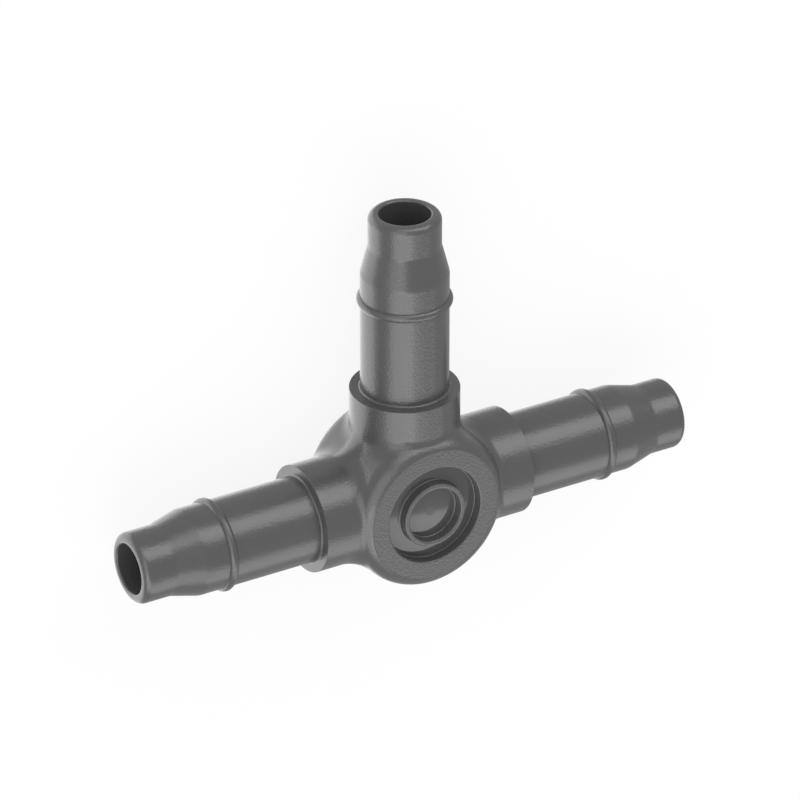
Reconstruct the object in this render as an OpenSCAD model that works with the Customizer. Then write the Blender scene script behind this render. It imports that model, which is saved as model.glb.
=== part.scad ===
// Push-in tee for thin drip line: one moulded piece with three barbed spigots
// round a flat hub. It lies on the back face of its hub. The hub axis is Z, the
// straight run is X and the branch is +Y. All lengths are in millimetres.

/* [Barbed spigots] */
// Outside diameter of the plain shank that fills the tube
shank_d = 5.0; // [4.4:0.1:6]
// Length of shank from the shoulder to the middle of the bead
shank_len = 5.6; // [3:0.1:9]
// Outside diameter of the gripping bead
bead_d = 5.4; // [5.1:0.05:6.4]
// Width of the bead along the shank
bead_w = 0.54; // [0.4:0.02:0.8]
// Shank left between the middle of the bead and the foot of the lead-in cone
land_len = 1.65; // [0.8:0.05:3]
// Length of the lead-in cone
cone_len = 1.7; // [0.8:0.05:3]
// Outside diameter of the nose
nose_d = 4.12; // [3.9:0.02:4.4]
// Length of the nose in front of the cone
nose_len = 1.95; // [0.8:0.05:3]
// Rounding of the outer edge of the nose
nose_round = 0.4; // [0.1:0.05:0.5]

/* [Bore] */
// Diameter of the water way in the run and in the branch
bore_d = 2.9; // [2:0.1:3]
// Rounding of the mouth of each bore
mouth_round = 0.06; // [0.02:0.02:0.12]

/* [Collars] */
// Outside diameter of the three collars that stop the tubes
collar_d = 6.24; // [6.2:0.02:7.2]
// Distance from the hub axis to the shoulder face of each run collar
run_reach = 6.7; // [6.2:0.05:10]
// Distance from the hub axis to the shoulder face of the branch collar
branch_reach = 6.65; // [6.2:0.05:10]
// Fillet where a shank leaves its shoulder
root_round = 0.2; // [0.05:0.05:0.25]

/* [Hub] */
// Diameter of the round hub at its parting line, halfway between the faces
hub_d = 9.8; // [9:0.1:10.4]
// Draft of the hub wall, from the parting line to each face, in degrees
hub_draft = 4; // [0.5:0.5:6]
// Height by which each hub face stands proud of the collars
face_step = 0.35; // [0.2:0.05:1]
// Rounding of both hub rims
rim_round = 1.15; // [0.6:0.05:1.3]
// Depth to which each face is cut into that rounding, which leaves a crease round the face
face_cut = 0.09; // [0.02:0.01:0.2]
// Fillet between hub and collars, along the hub faces
face_blend = 0.6; // [0.4:0.1:1.5]
// The same fillet halfway down the hub, in the two corners beside the branch
saddle_blend = 1.5; // [0.8:0.1:2.5]
// The same fillet halfway down the hub, on the side without a branch
side_blend = 2.5; // [0.8:0.1:4.2]

/* [Front face] */
// Diameter of the round well in the middle of the front face
well_d = 3.3; // [2:0.1:3.6]
// Width of the ring that stands round the well
ring_w = 0.3; // [0.2:0.05:0.6]
// Width of the channel round the ring
channel_w = 1.0; // [0.4:0.1:1.2]
// Depth of the well and of the channel
sink_depth = 0.62; // [0.2:0.02:0.9]

/* [Hidden] */
$fn = 72;
shank_r = shank_d / 2;
bead_r = bead_d / 2;
nose_r = nose_d / 2;
bore_r = bore_d / 2;
collar_r = collar_d / 2;
hub_r = hub_d / 2;
well_r = well_d / 2;
hub_t = collar_d + 2 * face_step;
mid_z = hub_t / 2;
// Lengths along a spigot, from its shoulder face
cone_at = shank_len + land_len;
nose_at = cone_at + cone_len;
spigot_len = nose_at + nose_len;
run_tip = run_reach + spigot_len;
branch_tip = branch_reach + spigot_len;
// Start of each collar, buried in the hub
buried = hub_r / 4;
// Rim of the hub: centre circle of its rounding, seen from the middle plane, and
// the slope at which the rounding ends at the face
rim_h = hub_t / 2 + face_cut - rim_round;
rim_top = asin((hub_t / 2 - rim_h) / rim_round);
rim_r = hub_r - (rim_h + rim_round * sin(hub_draft)) * tan(hub_draft)
    - rim_round * cos(hub_draft);
// Edges of the fillet are set this far into the solids that they join
tuck = 0.012;
// Steps of the fillet: round a quarter of a collar, across it, in a saddle; and
// of the rounding of a rim
steps_round = 10;
steps_across = 8;
steps_saddle = 3;
steps_rim = 8;

// One per solid

// Fillet between hub and collars
// The fillet is the trace of a ball that rolls round a collar and touches it
// and the hub. It is worked out beside one collar: x runs along it, y sideways,
// z up from the middle plane. The turn a is counted round the collar from its
// top, and f is the radius of the ball.

function mix(p, q, s) = p * (1 - s) + q * s;
function ball(a, saddle) = mix(face_blend, saddle ? saddle_blend : side_blend, pow(sin(a), 2));

// Part of the hub that a ball at height z touches: parting line, wall or rim
function on_line(z, f) = z < f * sin(hub_draft);
function on_rim(z, f) = z > rim_h + (rim_round + f) * sin(hub_draft);

// Distance of that ball's centre from the hub axis
function ball_out(z, f) =
    on_line(z, f) ? hub_r + sqrt(f * f - z * z)
    : on_rim(z, f) ? rim_r + sqrt(pow(rim_round + f, 2) - pow(z - rim_h, 2))
    : hub_r - z * tan(hub_draft) + f / cos(hub_draft);

// Centre of the ball that touches hub and collar
function centre_hub(a, f) =
    let (y = (collar_r + f) * sin(a), z = (collar_r + f) * cos(a), out = ball_out(z, f))
    [sqrt(out * out - y * y), y, z];

// Centre of the ball that touches two collars
function centre_saddle(a, f) = (collar_r + f) * [sin(a), sin(a), cos(a)];

// How far the ball keeps from the plane halfway to the next collar
function spare(a) = let (c = centre_hub(a, ball(a, true))) c.x - c.y;

// Turn at which it meets the next collar as well
function meeting(lo, hi, n = 40) =
    let (a = (lo + hi) / 2)
    n == 0 ? a : spare(a) > 0 ? meeting(a, hi, n - 1) : meeting(lo, a, n - 1);

// Way from the ball's centre to the collar and to the hub
function to_collar(a) = [0, -sin(a), -cos(a)];
function dip_hub(z, f) =
    on_line(z, f) ? asin(z / f)
    : on_rim(z, f) ? asin((z - rim_h) / (rim_round + f)) : hub_draft;
function to_hub(c, f) =
    let (out = norm([c.x, c.y]), dip = dip_hub(c.z, f))
    [-c.x / out * cos(dip), -c.y / out * cos(dip), -sin(dip)];

// Way to a point of the halfway plane, by its dip under the horizontal
function to_plane(dip) = [-cos(dip) * sqrt(0.5), -cos(dip) * sqrt(0.5), -sin(dip)];
function dip_saddle(a) = atan2(2 * cos(a), sqrt(2) * sin(a));

// One line across the fillet, from the collar to its end, as points on the ball
function line(c, f, from, to, tucked) =
    let (turn = acos(from * to), side = (to - from * cos(turn)) / sin(turn))
    [for (i = [0 : steps_across])
        let (s = i / steps_across * turn,
             r = i == 0 || (tucked && i == steps_across) ? f + tuck : f)
        c + r * (i == steps_across ? to : from * cos(s) + side * sin(s))];
function line_hub(a, f) =
    let (c = centre_hub(a, f)) line(c, f, to_collar(a), to_hub(c, f), true);

// Inner edges of the fillet's body, deep in the solids
function heel(a) = [hub_r / 2, collar_r / 2 * sin(a), collar_r / 2 * cos(a)];
function keel(p) = [hub_r / 3, hub_r / 3, p.z / 2];

// A quarter of the fillet, from the top of a collar to the middle plane: each
// entry is a line and the inner points that close its section
function quarter_free(saddle) =
    [for (i = [0 : steps_round])
        let (a = 90 * i / steps_round, l = line_hub(a, ball(a, saddle)))
        [l, heel(a), l[steps_across]]];
function quarter_saddle() =
    let (am = meeting(0, 90), f = ball(am, true), cm = centre_saddle(am, f),
         dip0 = dip_hub(cm.z, f), dip1 = dip_saddle(am), n = steps_round - steps_saddle)
    concat(
        [for (i = [0 : n - 1])
            let (a = am * i / n, l = line_hub(a, ball(a, true)))
            [l, heel(a), l[steps_across]]],
        [for (i = [0 : steps_saddle])
            let (to = to_plane(mix(dip0, dip1, i / steps_saddle)),
                 l = line(cm, f, to_collar(am), to, i == 0),
                 e = l[steps_across])
            [l, heel(am), i == 0 ? e : keel(e)]],
        [for (i = [1 : steps_saddle])
            let (a = mix(am, 90, i / steps_saddle), g = ball(a, true),
                 l = line(centre_saddle(a, g), g, to_collar(a), to_plane(dip_saddle(a)), false))
            [l, heel(a), keel(l[steps_across])]]);

// Saddles need balls that meet before they reach the middle plane
function quarter(saddle) = saddle && spare(90) < 0 ? quarter_saddle() : quarter_free(saddle);

// Triangles between neighbouring lines, with the empty ones left out
function tris(p, q, r) = p == q || q == r || r == p ? [] : [[p, q, r]];
function strip(l, m) =
    [for (i = [0 : len(l) - 2])
        for (t = concat(tris(l[i], m[i], l[i + 1]), tris(l[i + 1], m[i], m[i + 1]))) t];
function skin(q) =
    [for (i = [0 : len(q) - 2])
        for (t = concat(
            strip(q[i][0], q[i + 1][0]),
            strip([q[i][2], q[i][1], q[i][0][0]],
                  [q[i + 1][2], q[i + 1][1], q[i + 1][0][0]]))) t];
function placed(ts, m, flip) =
    [for (t = ts)
        let (p = [for (v = t) [v * m[0], v * m[1], v * m[2]]])
        flip ? [p[0], p[2], p[1]] : p];

// Both halves of a quarter, above and below the middle plane
function side(saddle, m, flip) =
    let (q = skin(quarter(saddle)))
    concat(placed(q, m, flip), placed(q, [for (r = m) [r.x, r.y, -r.z]], !flip));

module blends() {
    ts = concat(
        side(true, [[1, 0, 0], [0, 1, 0], [0, 0, 1]], true),
        side(false, [[1, 0, 0], [0, -1, 0], [0, 0, 1]], false),
        side(true, [[-1, 0, 0], [0, 1, 0], [0, 0, 1]], false),
        side(false, [[-1, 0, 0], [0, -1, 0], [0, 0, 1]], true),
        side(true, [[0, 1, 0], [1, 0, 0], [0, 0, 1]], false),
        side(true, [[0, -1, 0], [1, 0, 0], [0, 0, 1]], true));
    translate([0, 0, mid_z])
    polyhedron(
        points = [for (t = ts) for (v = t) v],
        faces = [for (i = [0 : len(ts) - 1]) [3 * i, 3 * i + 1, 3 * i + 2]]);
}

// Half section of the hub: radius across, height from the middle plane up
module hub_section() {
    rim = [for (i = [0 : steps_rim])
        let (t = mix(hub_draft, rim_top, i / steps_rim))
        [rim_r + rim_round * cos(t), rim_h + rim_round * sin(t)]];
    polygon(concat(
        [[0, -hub_t / 2]],
        [for (i = [steps_rim : -1 : 0]) [rim[i].x, -rim[i].y]],
        [[hub_r, 0]],
        rim,
        [[0, hub_t / 2]]));
}

module hub() {
    translate([0, 0, mid_z]) rotate_extrude() hub_section();
}

// Half section of one collar and its barbed spigot: radius across, length up
module spigot_section(reach) {
    tip = reach + spigot_len;
    difference() {
        union() {
            polygon([
                [0, buried], [collar_r, buried], [collar_r, reach], [shank_r, reach],
                [shank_r, reach + cone_at], [nose_r, reach + nose_at], [nose_r, tip], [0, tip]]);
            translate([bead_r - bead_w / 2, reach + shank_len]) circle(bead_w / 2, $fn = 24);
            difference() {
                translate([shank_r, reach]) square(root_round);
                translate([shank_r + root_round, reach + root_round]) circle(root_round, $fn = 24);
            }
        }
        difference() {
            translate([nose_r - nose_round, tip - nose_round]) square(nose_round + 1);
            translate([nose_r - nose_round, tip - nose_round]) circle(nose_round, $fn = 24);
        }
    }
}

module spigot(turn, reach) {
    translate([0, 0, mid_z]) rotate([0, 0, turn]) rotate([0, 90, 0])
        rotate_extrude() spigot_section(reach);
}

// Cutter that rounds the mouth of a bore whose tip is this far along
module mouth(tip) {
    rotate_extrude() difference() {
        translate([bore_r - 0.5, tip - mouth_round]) square([0.5 + mouth_round, mouth_round + 1]);
        translate([bore_r + mouth_round, tip - mouth_round]) circle(mouth_round, $fn = 24);
    }
}

module water_way() {
    translate([0, 0, mid_z]) {
        rotate([0, 90, 0]) cylinder(r = bore_r, h = 2 * run_tip + 2, center = true);
        rotate([-90, 0, 0]) cylinder(r = bore_r, h = branch_tip + 1);
        rotate([0, 90, 0]) mouth(run_tip);
        rotate([0, -90, 0]) mouth(run_tip);
        rotate([-90, 0, 0]) mouth(branch_tip);
    }
}

// Round well and ring channel in the front face
module face_sink() {
    translate([0, 0, hub_t - sink_depth]) {
        cylinder(r = well_r, h = sink_depth + 1);
        difference() {
            cylinder(r = well_r + ring_w + channel_w, h = sink_depth + 1);
            translate([0, 0, -1]) cylinder(r = well_r + ring_w, h = sink_depth + 3);
        }
    }
}

module tee() {
    color("#5b5b5b")
    difference() {
        union() {
            hub();
            spigot(0, run_reach);
            spigot(180, run_reach);
            spigot(90, branch_reach);
            blends();
        }
        water_way();
        face_sink();
    }
}

tee();
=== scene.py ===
# Looks of a drip line tee: one charcoal moulding that lies on the back face of its hub
import math
import bmesh
import bpy
from mathutils import Matrix, Quaternion, Vector


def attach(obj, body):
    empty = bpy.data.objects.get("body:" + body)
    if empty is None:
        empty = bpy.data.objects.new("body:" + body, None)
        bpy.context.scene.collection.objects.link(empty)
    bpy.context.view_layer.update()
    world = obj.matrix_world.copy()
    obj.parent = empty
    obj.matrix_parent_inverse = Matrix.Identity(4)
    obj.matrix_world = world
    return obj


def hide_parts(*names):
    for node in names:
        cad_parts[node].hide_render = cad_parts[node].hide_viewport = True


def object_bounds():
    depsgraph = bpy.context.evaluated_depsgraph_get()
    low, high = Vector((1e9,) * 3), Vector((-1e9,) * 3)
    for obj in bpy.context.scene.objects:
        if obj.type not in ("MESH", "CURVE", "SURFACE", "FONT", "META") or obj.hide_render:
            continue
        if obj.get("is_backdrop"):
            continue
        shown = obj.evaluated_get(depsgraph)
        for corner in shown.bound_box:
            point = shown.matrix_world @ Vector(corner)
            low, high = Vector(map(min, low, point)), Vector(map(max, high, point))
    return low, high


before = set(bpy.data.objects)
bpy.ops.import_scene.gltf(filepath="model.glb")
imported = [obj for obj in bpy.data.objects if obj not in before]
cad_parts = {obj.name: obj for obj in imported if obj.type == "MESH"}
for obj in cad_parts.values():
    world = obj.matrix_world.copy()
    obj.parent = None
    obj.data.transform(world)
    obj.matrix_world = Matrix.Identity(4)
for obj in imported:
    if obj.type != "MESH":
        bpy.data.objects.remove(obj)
cad_low, cad_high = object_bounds()
mm = 0.001

# Camera
# It looks down on the front face of the hub from the upper left, through a long lens,
# at the angle from which the tee is pictured, with the branch pointing up the image.
image_side = 800
camera_turn = math.radians(-30.17)
camera_rise = math.radians(29.43)
camera_roll = math.radians(0.02)
camera_distance = 334.1 * mm
pixels_per_mm = 17.725
hub_right_of_middle = 4.496
hub_under_middle = 88.462

hub_middle = Vector((0, 0, cad_high.z / 2))
back = Vector((
    math.sin(camera_turn) * math.cos(camera_rise),
    math.sin(camera_rise),
    math.cos(camera_turn) * math.cos(camera_rise)))
level = Vector((math.cos(camera_turn), 0, -math.sin(camera_turn)))
right = Matrix.Rotation(camera_roll, 3, back) @ level
up = back.cross(right)

camera = bpy.data.objects.new("camera", bpy.data.cameras.new("camera"))
bpy.context.scene.collection.objects.link(camera)
bpy.context.scene.camera = camera
camera.data.sensor_width = 36
camera.data.lens = pixels_per_mm * camera_distance / mm * camera.data.sensor_width / image_side
camera.data.clip_start = 0.01
camera.data.clip_end = 10
camera.matrix_world = Matrix((
    (right.x, up.x, back.x, 0),
    (right.y, up.y, back.y, 0),
    (right.z, up.z, back.z, 0),
    (0, 0, 0, 1)))
camera.location = (
    hub_middle + camera_distance * back
    - hub_right_of_middle / pixels_per_mm * mm * right
    + hub_under_middle / pixels_per_mm * mm * up)

# Moulded tee: hub, collars and the fillets between them
# A flat round hub with drafted walls and rounded rims carries three collars. A ball that rolls
# round each collar, touching collar and hub, leaves the fillet. Lengths are in millimetres,
# about the middle of the hub, until the finished mesh is scaled to metres.
hub_half = cad_high.z / 2 / mm
hub_r = -cad_low.y / mm
run_tip = cad_high.x / mm
branch_tip = cad_high.y / mm
hub_draft = math.radians(4)
rim_round = 1.15
face_cut = 0.09
face_step = 0.35
collar_r = hub_half - face_step
face_blend = 0.6
saddle_blend = 1.5
side_blend = 2.5
rim_h = hub_half + face_cut - rim_round
rim_r = (hub_r - (rim_h + rim_round * math.sin(hub_draft)) * math.tan(hub_draft)
         - rim_round * math.cos(hub_draft))
rim_top = math.asin((hub_half - rim_h) / rim_round)
face_r = rim_r + rim_round * math.cos(rim_top)
shoulder_to_tip = 10.9
run_reach = run_tip - shoulder_to_tip
branch_reach = branch_tip - shoulder_to_tip

# Steps of the mesh: round a quarter of a collar, across a fillet, down the hub, over the fan where
# two fillets meet, and round the side of the hub that has no collar
steps_round = 30
steps_across = 14
steps_down = 16
steps_fan = 6
steps_free = 44


def ball_radius(turn, saddle):
    """Radius of the rolling ball; turn is counted round the collar from its top."""
    at_middle = saddle_blend if saddle else side_blend
    return face_blend + (at_middle - face_blend) * math.sin(turn) ** 2


def ball_touch(z, f):
    """Distance from the hub axis to a ball's centre at height z, and the dip of the ball's way in."""
    if z < f * math.sin(hub_draft):
        return hub_r + math.sqrt(f * f - z * z), math.asin(z / f)
    if z > rim_h + (rim_round + f) * math.sin(hub_draft):
        out = rim_r + math.sqrt((rim_round + f) ** 2 - (z - rim_h) ** 2)
        return out, math.asin((z - rim_h) / (rim_round + f))
    return hub_r - z * math.tan(hub_draft) + f / math.cos(hub_draft), hub_draft


def ball_on_hub(turn, f):
    """Centre of the ball that touches collar and hub, and its way to the hub."""
    y = (collar_r + f) * math.sin(turn)
    z = (collar_r + f) * math.cos(turn)
    out, dip = ball_touch(z, f)
    x = math.sqrt(out * out - y * y)
    way = Vector((-x / out * math.cos(dip), -y / out * math.cos(dip), -math.sin(dip)))
    return Vector((x, y, z)), way


def ball_in_saddle(turn, f):
    """Centre of the ball that touches two neighbouring collars."""
    across = (collar_r + f) * math.sin(turn)
    return Vector((across, across, (collar_r + f) * math.cos(turn)))


def meeting_turn():
    """Turn at which the ball on one collar and the hub meets the next collar as well."""
    halvings = 50
    low, high = 0.0, math.pi / 2
    for _ in range(halvings):
        middle = (low + high) / 2
        centre, _way = ball_on_hub(middle, ball_radius(middle, True))
        low, high = (middle, high) if centre.x > centre.y else (low, middle)
    return low


def to_plane(dip):
    """Way to the plane halfway between two collars."""
    flat = -math.cos(dip) * math.sqrt(0.5)
    return Vector((flat, flat, -math.sin(dip)))


def across_fillet(centre, f, start, turn, reach):
    """Points over the ball from its start to the collar, and on to the shoulder."""
    end = Vector((0, -math.sin(turn), -math.cos(turn)))
    points = [
        centre + f * start.slerp(end, step / steps_across)
        for step in range(steps_across + 1)]
    return points + [Vector((reach, collar_r * math.sin(turn), collar_r * math.cos(turn)))]


def down_hub(azimuth, bottom):
    """Points down the hub's section at one azimuth, from the edge of its face to a height."""
    wall_top = rim_h + rim_round * math.sin(hub_draft)
    last = math.asin((max(bottom, wall_top) - rim_h) / rim_round)
    arc = rim_round * (rim_top - last)
    wall = max(wall_top - bottom, 0) / math.cos(hub_draft)
    points = []
    for step in range(steps_down + 1):
        way = (arc + wall) * step / steps_down
        if way <= arc or wall == 0:
            slope = rim_top - way / rim_round
            out, z = rim_r + rim_round * math.cos(slope), rim_h + rim_round * math.sin(slope)
        else:
            z = wall_top - (way - arc) * math.cos(hub_draft)
            out = hub_r - z * math.tan(hub_draft)
        points.append(Vector((out * math.cos(azimuth), out * math.sin(azimuth), z)))
    return points


def on_hub(turn, saddle, reach):
    """One line of the skin: down the hub to the fillet, and over the fillet to the shoulder."""
    f = ball_radius(turn, saddle)
    centre, way = ball_on_hub(turn, f)
    fillet = across_fillet(centre, f, way, turn, reach)
    return down_hub(math.atan2(fillet[0].y, fillet[0].x), fillet[0].z)[:-1], fillet


def quarter(saddle, reach):
    """Lines of the skin from the top of a collar to the middle plane."""
    if not saddle:
        return [on_hub(math.pi / 2 * i / steps_round, False, reach) for i in range(steps_round + 1)]
    meet = meeting_turn()
    on_hub_steps = round(steps_round * meet / (math.pi / 2))
    lines = [on_hub(meet * i / on_hub_steps, True, reach) for i in range(on_hub_steps + 1)]
    f = ball_radius(meet, True)
    centre = ball_in_saddle(meet, f)
    dip = ball_touch(centre.z, f)[1]
    for i in range(1, steps_fan + 1):
        last_dip = math.atan2(math.sqrt(2) * math.cos(meet), math.sin(meet))
        way = to_plane(dip + (last_dip - dip) * i / steps_fan)
        lines.append((None, across_fillet(centre, f, way, meet, reach)))
    saddle_steps = steps_round - on_hub_steps
    for i in range(1, saddle_steps + 1):
        turn = meet + (math.pi / 2 - meet) * i / saddle_steps
        f = ball_radius(turn, True)
        way = to_plane(math.atan2(math.sqrt(2) * math.cos(turn), math.sin(turn)))
        lines.append((None, across_fillet(ball_in_saddle(turn, f), f, way, turn, reach)))
    return lines


def add_strip(mesh, first, second, place):
    """Quads between two lines of points, put in their place and mirrored below the middle plane."""
    for half in (1, -1):
        rows = [
            [mesh.verts.new((p.x, p.y, half * p.z)) for p in (place @ q for q in line)]
            for line in (first, second)]
        for i in range(len(first) - 1):
            mesh.faces.new((rows[0][i], rows[1][i], rows[1][i + 1], rows[0][i + 1]))


bpy.ops.object.select_all(action="DESELECT")
skin = bmesh.new()
mirrored = Matrix.Diagonal((-1, 1, 1))
to_branch = Matrix(((0, 1, 0), (1, 0, 0), (0, 0, 1)))
other_side = Matrix.Diagonal((1, -1, 1))
quarters = [
    (True, run_reach, Matrix.Identity(3)),
    (False, run_reach, other_side),
    (True, run_reach, mirrored),
    (False, run_reach, mirrored @ other_side),
    (True, branch_reach, to_branch),
    (True, branch_reach, mirrored @ to_branch)]
for saddle, reach, place in quarters:
    lines = quarter(saddle, reach)
    for (hub_a, fillet_a), (hub_b, fillet_b) in zip(lines, lines[1:]):
        if hub_a and hub_b:
            add_strip(skin, hub_a + fillet_a, hub_b + fillet_b, place)
        else:
            add_strip(skin, fillet_a, fillet_b, place)
contact = quarter(False, run_reach)[-1][1][0]
free_from = math.atan2(contact.y, contact.x)
for i in range(steps_free):
    first, second = (
        down_hub(-free_from - (math.pi - 2 * free_from) * j / steps_free, 0)
        for j in (i, i + 1))
    add_strip(skin, first, second, Matrix.Identity(3))

tee = bpy.data.objects.new("moulded_tee", bpy.data.meshes.new("moulded_tee"))
skin.to_mesh(tee.data)
skin.free()
bpy.context.scene.collection.objects.link(tee)
bpy.context.view_layer.objects.active = tee
tee.select_set(True)
weld = 0.0005
bpy.ops.object.mode_set(mode="EDIT")
bpy.ops.mesh.select_all(action="SELECT")
bpy.ops.mesh.remove_doubles(threshold=weld)
bpy.ops.mesh.normals_make_consistent(inside=False)

# Barbed spigots and water way
# Each collar ends in a flat shoulder that stops the tube. A plain shank with a thin bead, a lead-in
# cone and a rounded nose is drawn out of it, and the bore goes back in from the nose. The three
# bores meet in the middle of the hub.
shank_r = 2.5
shank_len = 5.6
bead_r = 2.7
bead_w = 0.54
cone_at = 7.25
nose_at = 8.95
nose_r = 2.06
bore_r = 1.45
root_round = 0.12
nose_round = 0.4
mouth_round = 0.12
cone_round = 0.12
shoulder_round = 0.04
near = 0.002


def select_edges(wanted):
    """Selects the edges whose two ends both pass a test."""
    bpy.ops.mesh.select_mode(type="EDGE")
    bpy.ops.mesh.select_all(action="DESELECT")
    mesh = bmesh.from_edit_mesh(tee.data)
    for edge in mesh.edges:
        edge.select_set(all(wanted(v.co) for v in edge.verts))
    bmesh.update_edit_mesh(tee.data)


def select_open_ring(wanted):
    """Selects the edges round an opening of the skin, where their ends pass a test."""
    select_edges(wanted)
    mesh = bmesh.from_edit_mesh(tee.data)
    for edge in mesh.edges:
        if edge.select and not edge.is_boundary:
            edge.select_set(False)
    bmesh.update_edit_mesh(tee.data)


def draw_ring(axis, along, radius):
    """Extrudes the selected ring, moves it along its axis and gives it a new radius."""
    mesh = bmesh.from_edit_mesh(tee.data)
    ring = next(v.co for v in mesh.verts if v.select)
    now = ring.dot(axis)
    size = radius / (ring - now * axis).length
    bpy.ops.mesh.extrude_region_move(
        TRANSFORM_OT_translate={"value": (along - now) * axis})
    grow = Vector((size, size, size)) - (size - 1) * Vector([abs(x) for x in axis])
    bpy.ops.transform.resize(value=grow, center_override=along * axis)


def round_ring(axis, along, radius, size, steps):
    """Bevels the ring edge of one radius at one place along an axis."""
    def on_ring(co):
        away = co - co.dot(axis) * axis
        return abs(co.dot(axis) - along) < near and abs(away.length - radius) < near
    select_edges(on_ring)
    bpy.ops.mesh.bevel(offset=size, segments=steps, affect="EDGES")


arms = [
    (Vector((1, 0, 0)), run_reach),
    (Vector((-1, 0, 0)), run_reach),
    (Vector((0, 1, 0)), branch_reach)]
bead_centre_r = bead_r - bead_w / 2
bead_foot = math.acos((shank_r - bead_centre_r) / (bead_w / 2))
steps_bead = 10
for axis, reach in arms:
    select_open_ring(lambda co: abs(co.dot(axis) - reach) < near)
    draw_ring(axis, reach, shank_r)
    for step in range(steps_bead + 1):
        slope = bead_foot * (2 * step / steps_bead - 1)
        draw_ring(
            axis, reach + shank_len + bead_w / 2 * math.sin(slope),
            bead_centre_r + bead_w / 2 * math.cos(slope))
    draw_ring(axis, reach + cone_at, shank_r)
    draw_ring(axis, reach + nose_at, nose_r)
    draw_ring(axis, reach + shoulder_to_tip, nose_r)
    draw_ring(axis, reach + shoulder_to_tip, bore_r)
    draw_ring(axis, bore_r, bore_r)
    draw_ring(axis, 0, bore_r)
    # The inner end of the bore is drawn back to where it meets the bores beside it
    mesh = bmesh.from_edit_mesh(tee.data)
    for v in mesh.verts:
        if v.select:
            side = v.co.y if axis.y == 0 else abs(v.co.x)
            v.co += max(side, 0) * axis
    bmesh.update_edit_mesh(tee.data)

bpy.ops.mesh.select_all(action="SELECT")
bpy.ops.mesh.remove_doubles(threshold=weld)

# Each edge: how far it lies past the shoulder, its radius, its rounding and the steps of that
spigot_edges = [
    (0, collar_r, shoulder_round, 2),
    (0, shank_r, root_round, 6),
    (cone_at, shank_r, cone_round, 4),
    (nose_at, nose_r, cone_round, 4),
    (shoulder_to_tip, nose_r, nose_round, 10),
    (shoulder_to_tip, bore_r, mouth_round, 5)]
for axis, reach in arms:
    for along, radius, size, steps in spigot_edges:
        round_ring(axis, reach + along, radius, size, steps)

# Hub faces
# The back face is plain. The front face lies just behind a fine lip round its edge. A thin ring
# stands in it, with a slightly crowned well inside and a channel outside that falls outward.
well_r = 1.65
ring_w = 0.3
channel_w = 1.0
sink_depth = 0.62
crown = 0.05
channel_fall = 0.09
lip = 0.04
edge_round = 0.08
crease_round = 0.03
back_ring_share = 0.9
steps_crown = 8
steps_edge = 4
steps_crease = 3
up_axis = Vector((0, 0, 1))
ring_r = well_r + ring_w
channel_r = ring_r + channel_w

# Each ring that the front face is drawn through: its radius, and its depth under the lip
front_rings = [
    (channel_r, lip),
    (channel_r, sink_depth + channel_fall / 2),
    (ring_r, sink_depth - channel_fall / 2),
    (ring_r, 0),
    (well_r, 0),
    (well_r, sink_depth)]
select_open_ring(lambda co: abs(co.z - hub_half) < near)
draw_ring(up_axis, hub_half - lip, face_r - lip / 2)
for radius, depth in front_rings:
    draw_ring(up_axis, hub_half - depth, radius)
for step in range(1, steps_crown):
    share = 1 - step / steps_crown
    draw_ring(up_axis, hub_half - sink_depth + crown * (1 - share * share), well_r * share)
bpy.ops.mesh.edge_face_add()
select_open_ring(lambda co: abs(co.z + hub_half) < near)
draw_ring(up_axis, -hub_half, face_r * back_ring_share)
bpy.ops.mesh.edge_face_add()
for side in (1, -1):
    round_ring(up_axis, side * hub_half, face_r, crease_round, steps_crease)
for radius, depth in front_rings:
    round_ring(up_axis, hub_half - depth, radius, edge_round, steps_edge)

bpy.ops.mesh.select_all(action="SELECT")
bpy.ops.mesh.normals_make_consistent(inside=False)
bpy.ops.object.mode_set(mode="OBJECT")
smooth_up_to = math.radians(35)
bpy.ops.object.shade_smooth_by_angle(angle=smooth_up_to)
weigh = tee.modifiers.new("weigh", "WEIGHTED_NORMAL")
weigh.keep_sharp = True
bpy.ops.object.modifier_apply(modifier=weigh.name)
tee.scale = (mm, mm, mm)
tee.location = hub_middle
bpy.ops.object.transform_apply(location=True, rotation=True, scale=True)

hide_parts("tee")
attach(tee, "root")


def linear(hex_value):
    """An sRGB hex value as the linear colour that a node takes."""
    channels = [int(hex_value[i:i + 2], 16) / 255 for i in (1, 3, 5)]
    return [c / 12.92 if c <= 0.04045 else ((c + 0.055) / 1.055) ** 2.4 for c in channels] + [1]


def add_node(tree, kind, settings=None, links=None):
    """Adds a node, sets its properties or inputs, and links its inputs from other sockets."""
    node = tree.nodes.new(kind)
    for name, value in (settings or {}).items():
        if isinstance(name, int) or name in node.inputs:
            node.inputs[name].default_value = value
        else:
            setattr(node, name, value)
    for name, socket in (links or {}).items():
        tree.links.new(socket, node.inputs[name])
    return node


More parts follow.
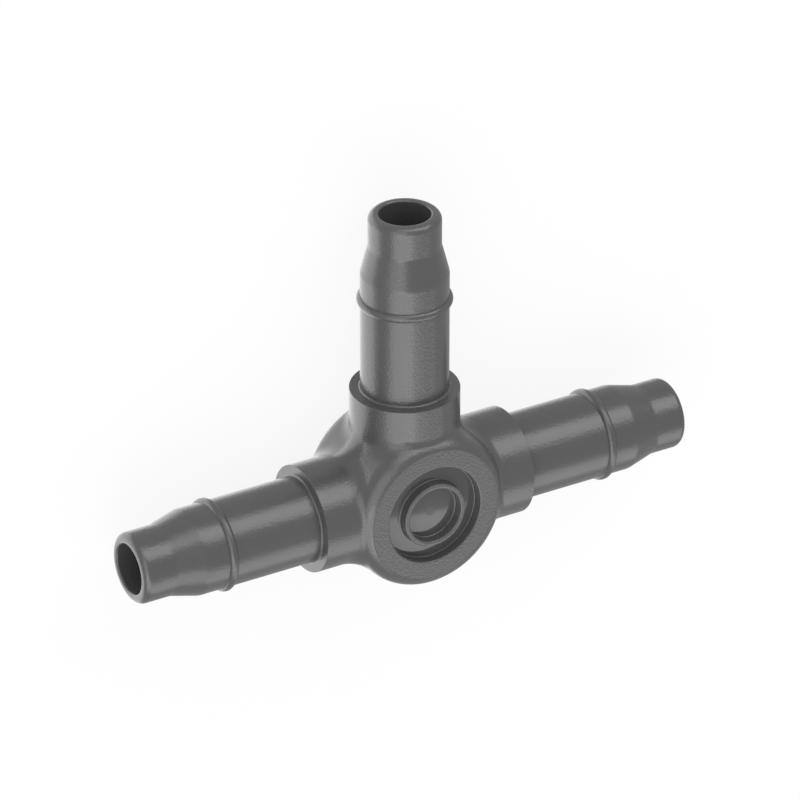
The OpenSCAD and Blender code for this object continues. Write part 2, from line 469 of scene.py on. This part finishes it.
# Acetal, injection moulded in a finely eroded mould
# Charcoal grey all through. The eroded steel leaves a fine grain that turns the gloss to satin and
# breaks up the edges of reflections. It is drawn about twice as coarse as it is, to show. The sunk
# floors of the front face come from a polished pin, so they mirror the studio sharply.
def moulded_acetal(name, grain_depth, roughness):
    """Acetal with the grain that its part of the mould leaves, in millimetres deep."""
    acetal = bpy.data.materials.new(name)
    acetal.use_nodes = True
    tree = acetal.node_tree
    tree.nodes.clear()
    charcoal = linear("#4e4e4e")
    grain_size = 0.14
    place = add_node(tree, "ShaderNodeTexCoord")
    grain = add_node(
        tree, "ShaderNodeTexNoise",
        {"Scale": 1 / (grain_size * mm), "Detail": 2.0, "Roughness": 0.5},
        {"Vector": place.outputs["Object"]})
    bump = add_node(
        tree, "ShaderNodeBump", {"Strength": 1.0, "Distance": grain_depth * mm},
        {"Height": grain.outputs["Fac"]})
    shader = add_node(
        tree, "ShaderNodeBsdfPrincipled",
        {"Base Color": charcoal, "Roughness": roughness, "Specular IOR Level": 1.0},
        {"Normal": bump.outputs["Normal"]})
    add_node(tree, "ShaderNodeOutputMaterial", links={"Surface": shader.outputs["BSDF"]})
    return acetal


tee.data.materials.clear()
tee.data.materials.append(moulded_acetal("eroded_acetal", grain_depth=0.014, roughness=0.25))
tee.data.materials.append(moulded_acetal("polished_acetal", grain_depth=0.0005, roughness=0.08))

# The floors of the recess, which lie level or nearly so, take the polished finish
level_from = 0.95
for face in tee.data.polygons:
    at = (face.center - hub_middle) / mm
    sunk = at.xy.length < channel_r and 0 < at.z < hub_half - sink_depth / 2
    if sunk and face.normal.z > level_from:
        face.material_index = 1

# Floor
# A plain white sheet under the tee, which shows as white to the camera and keeps a soft shadow.
# The tee doesn't mirror it: reflections see the studio's white card instead.
floor_side = 6
glow_share = 0.88
bpy.ops.mesh.primitive_plane_add(size=floor_side)
floor = bpy.context.active_object
floor.name = "floor"
floor.visible_glossy = False
floor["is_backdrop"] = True
paper = bpy.data.materials.new("paper_floor")
paper.use_nodes = True
tree = paper.node_tree
tree.nodes.clear()
rays = add_node(tree, "ShaderNodeLightPath")
matte = add_node(tree, "ShaderNodeBsdfDiffuse", {"Color": linear("#ffffff")})
white = add_node(tree, "ShaderNodeEmission", {"Color": linear("#ffffff"), "Strength": 1.0})
share = add_node(
    tree, "ShaderNodeMath", {"operation": "MULTIPLY", 1: glow_share},
    {0: rays.outputs["Is Camera Ray"]})
mixed = add_node(
    tree, "ShaderNodeMixShader", None,
    {0: share.outputs[0], 1: matte.outputs[0], 2: white.outputs[0]})
add_node(tree, "ShaderNodeOutputMaterial", links={"Surface": mixed.outputs[0]})
floor.data.materials.append(paper)


def sky(azimuth, elevation):
    """Direction at an azimuth from +X towards +Y and an elevation above the floor, in degrees."""
    a, e = math.radians(azimuth), math.radians(elevation)
    return Vector((math.cos(a) * math.cos(e), math.sin(a) * math.cos(e), math.sin(e)))


# Studio
# A dim grey room with a round white card below, on the left. The tee mirrors it at its left and
# lower edges and in the shoulders that face left.
card_way = sky(-142, -68)
card_radius = math.radians(47)
card_soft = math.radians(5)
room_glow = 0.49
card_glow = 1.78
world = bpy.data.worlds.new("studio")
bpy.context.scene.world = world
world.cycles.sampling_method = "NONE"
world.use_nodes = True
tree = world.node_tree
tree.nodes.clear()
look = add_node(tree, "ShaderNodeTexCoord")
near_card = add_node(
    tree, "ShaderNodeVectorMath", {"operation": "DOT_PRODUCT", 1: card_way},
    {0: look.outputs["Generated"]})
on_card = add_node(
    tree, "ShaderNodeMapRange",
    {"From Min": math.cos(card_radius + card_soft), "From Max": math.cos(card_radius - card_soft),
     "To Min": room_glow, "To Max": card_glow},
    {"Value": near_card.outputs["Value"]})
room = add_node(
    tree, "ShaderNodeBackground", {"Color": linear("#ffffff")},
    {"Strength": on_card.outputs["Result"]})
add_node(tree, "ShaderNodeOutputWorld", links={"Surface": room.outputs[0]})

# Soft boxes
# Rectangular boxes a metre away. Each has its azimuth and elevation, its width, height and roll as
# it looks from the tee, all in degrees, and its glow next to a white of 1.
box_away = 1.0
soft_boxes = {
    "box_behind": (64, 26, 46, 34, 0, 1.66),
    "box_behind_left": (103, 22, 24, 36, 0, 1.05),
    "box_front_left": (-138, 42, 44, 44, 23, 1.37),
    "box_front_right": (-74, 41, 62, 34, -35, 1.1),
    "box_left": (162, 42, 58, 46, 0, 0.77)}
for name, (azimuth, elevation, wide, high, roll, glow) in soft_boxes.items():
    lamp = bpy.data.objects.new(name, bpy.data.lights.new(name, "AREA"))
    bpy.context.scene.collection.objects.link(lamp)
    toward = sky(azimuth, elevation)
    lamp.location = hub_middle + box_away * toward
    lamp.rotation_mode = "QUATERNION"
    turned = Quaternion((0, 0, 1), math.radians(roll))
    lamp.rotation_quaternion = toward.to_track_quat("Z", "Y") @ turned
    lamp.data.shape = "RECTANGLE"
    lamp.data.size = 2 * box_away * math.tan(math.radians(wide / 2))
    lamp.data.size_y = 2 * box_away * math.tan(math.radians(high / 2))
    lamp.data.energy = glow * math.pi * lamp.data.size * lamp.data.size_y

bpy.context.scene.view_settings.view_transform = "Standard"

low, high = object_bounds()
